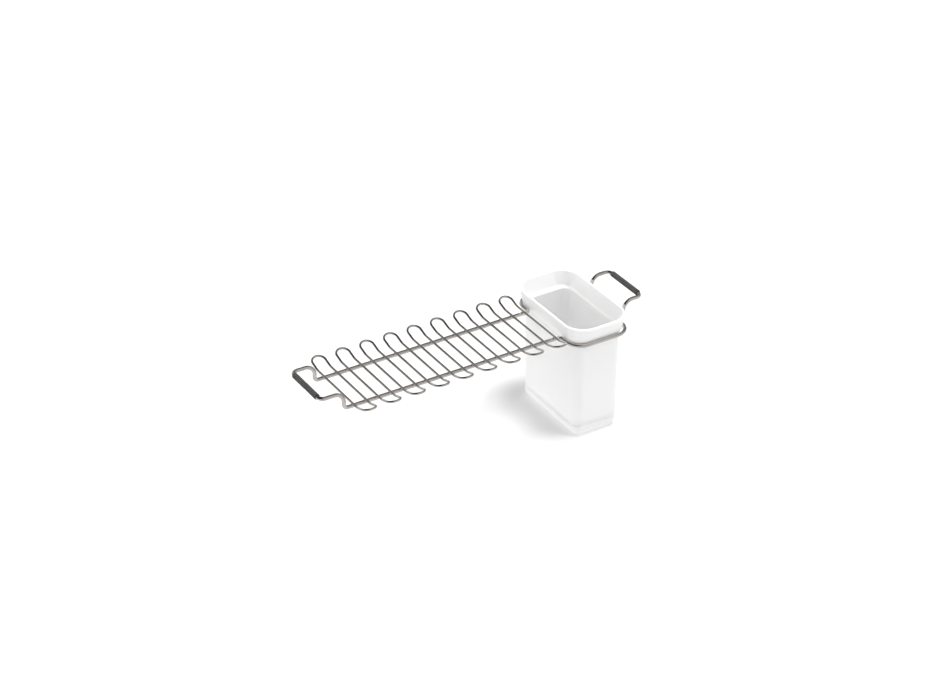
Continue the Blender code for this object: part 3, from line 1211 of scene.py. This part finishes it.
@dataclass(frozen=True)
class Lamp:
    """A soft square lamp that shows in no reflection.

    Attributes:
        name: The lamp's name.
        azimuth: Its direction from the cup, in degrees from +X towards +Y.
        elevation: Its height from the cup, in degrees.
        size: Its side in metres.
        level: How brightly a white card at the cup, facing it, is lit, where 1 is white.
        distance: How far from the cup it hangs.
    """

    name: str
    azimuth: float
    elevation: float
    size: float
    level: float
    distance: float = 2.5

    def build(self, target: Vector) -> None:
        """Hang the lamp and aim it.

        Args:
            target: The point that it shines on.
        """
        way = direction(self.azimuth, self.elevation)
        data = bpy.data.lights.new(self.name, "AREA")
        data.shape = "SQUARE"
        data.size = self.size
        data.energy = self.level * (math.pi * self.distance) ** 2
        made = bpy.data.objects.new(self.name, data)
        made.location = target + way * self.distance
        made.rotation_euler = way.to_track_quat("Z", "Y").to_euler()
        made.visible_camera = False
        made.visible_glossy = False
        bpy.context.scene.collection.objects.link(made)


@dataclass(frozen=True)
class Glow:
    """A soft patch of the room that only reflections show.

    Its brightness at a direction d is level * e^(sharpness * (d . centre - 1)).

    Attributes:
        azimuth: Its centre's direction, in degrees from +X towards +Y.
        elevation: Its centre's height, in degrees.
        sharpness: How quickly it falls off.
        level: Its brightness at its centre, where 1 is white.
    """

    azimuth: float
    elevation: float
    sharpness: float
    level: float

    def brightness(self, graph: Graph, look: Value) -> Value:
        """Return how bright the patch is in some direction.

        Args:
            graph: The world's graph.
            look: The direction.

        Returns:
            The brightness.
        """
        centre = direction(self.azimuth, self.elevation)
        settings = {"operation": "DOT_PRODUCT"}
        facing = graph.node("ShaderNodeVectorMath", settings, {0: look, 1: centre}).out("Value")
        return math.e ** ((facing - 1.0) * self.sharpness) * self.level


@dataclass
class Studio:
    """A pale floor, a room that is brightest at the horizon, soft lamps and the camera.

    Attributes:
        camera_place: Where the camera stands, in metres.
        camera_azimuth: The angle that it is turned to the right of +Y, as a negative turn about Z.
        camera_elevation: The angle that it looks down by.
        focal_pixels: Its focal length in pixels of the photograph.
        sensor: The width of its sensor, in millimetres.
        floor_half: Half the floor's side, in metres.
        room: Stops of the elevation's sine and of how bright the room is there, over room_level.
        room_level: How bright the room is at the horizon, where 1 is white.
        glows: What reflections show: patches low round the horizon, half way up and overhead.
        lamps: The lamps.
    """

    camera_place: tuple[float, float, float] = (-1.2931, -2.4912, 1.8000)
    camera_azimuth: float = math.radians(-31.6045)
    camera_elevation: float = math.radians(31.8945)
    focal_pixels: float = 2619.0
    sensor: float = 36.0
    floor_half: float = 6.0
    room: Stops = ((0.0, 1.0), (0.35, 0.0), (0.75, 0.51))
    room_level: float = 1.372
    glows: tuple[Glow, ...] = (
        Glow(0, 8, 9, 0.18),
        Glow(0, 38, 9, 0.27),
        Glow(45, 8, 9, 0.13),
        Glow(90, 8, 9, 0.84),
        Glow(135, 8, 9, 0.22),
        Glow(270, 8, 9, 0.27),
        Glow(270, 38, 9, 0.35),
        Glow(315, 8, 9, 0.73),
        Glow(292, 64, 14, 0.56),
    )
    lamps: tuple[Lamp, ...] = (
        Lamp("key", -36, 80, 0.7, 0.73),
        Lamp("fill_left", 168, 24, 1.6, 0.23),
        Lamp("fill_right", 318, 32, 1.6, 0.20),
    )

    def camera(self) -> None:
        """Set up the camera at the photograph's angle and focal length."""
        data = bpy.data.cameras.new("photo_camera")
        data.sensor_width = self.sensor
        data.lens = self.focal_pixels * self.sensor / PHOTO_WIDTH
        made = bpy.data.objects.new("photo_camera", data)
        made.location = self.camera_place
        made.rotation_euler = (QUARTER_TURN - self.camera_elevation, 0.0, self.camera_azimuth)
        bpy.context.scene.collection.objects.link(made)
        bpy.context.scene.camera = made

    def world(self) -> None:
        """Light the room, with white for the camera and the soft patches for reflections."""
        made = bpy.data.worlds.new("studio")
        made.use_nodes = True
        bpy.context.scene.world = made
        graph = Graph(made.node_tree)
        ray = graph.node("ShaderNodeLightPath", {}, {})
        look = graph.node("ShaderNodeTexCoord", {}, {}).out("Generated")
        height = graph.node("ShaderNodeSeparateXYZ", {}, {"Vector": look}).out("Z")
        patches = sum(glow.brightness(graph, look) for glow in self.glows)
        lit = graph.ramp(height, self.room) * self.room_level
        room, seen, white = (
            graph.node("ShaderNodeBackground", {}, {"Strength": level, "Color": WHITE}).out("Background")
            for level in (lit, patches, 1.0)
        )
        inputs = {0: ray.out("Is Glossy Ray"), 1: room, 2: seen}
        mixed = graph.node("ShaderNodeMixShader", {}, inputs).out("Shader")
        inputs = {0: ray.out("Is Camera Ray"), 1: mixed, 2: white}
        last = graph.node("ShaderNodeMixShader", {}, inputs).out("Shader")
        graph.node("ShaderNodeOutputWorld", {}, {"Surface": last})

    def floor(self, height: float, middle: Vector) -> None:
        """Lay the floor.

        Args:
            height: Its height.
            middle: The middle of the cup, which it lies round.
        """
        corners = np.array([(-1, -1), (1, -1), (1, 1), (-1, 1)]) * self.floor_half + middle.xy
        mesh = bpy.data.meshes.new("studio_floor")
        mesh.from_pydata([(x, y, height) for x, y in corners.tolist()], [], [(0, 1, 2, 3)])
        mesh.materials.append(PaleFloor(middle).material("pale_floor"))
        made = bpy.data.objects.new("studio_floor", mesh)
        bpy.context.scene.collection.objects.link(made)

    def build(self) -> None:
        """Set up everything round the object."""
        low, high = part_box("utensil_cup")
        middle = (low + high) / 2
        self.camera()
        self.world()
        self.floor(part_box("cup_base")[0].z, middle)
        for lamp in self.lamps:
            lamp.build(middle)
        bpy.context.scene.view_settings.view_transform = "Standard"


def main() -> None:
    """Build the studio and every piece."""
    logging.basicConfig(level=logging.INFO, format="%(message)s")
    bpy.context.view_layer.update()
    Studio().build()
    steel = PolishedSteel().material("polished_steel")
    rubber = CharcoalRubber().material("charcoal_rubber")
    plastic = MouldedPlastic().material("white_plastic")
    rods = WireFrame()
    rods.build(steel)
    PlateLoops(rods).build(steel)
    for node in ("grip_sleeve_left", "grip_sleeve_right"):
        Grip(node).build(rubber)
    cup = UtensilCup()
    cup.build(plastic)
    CupBase(cup).build(plastic)


if __name__ == "__main__":
    main()
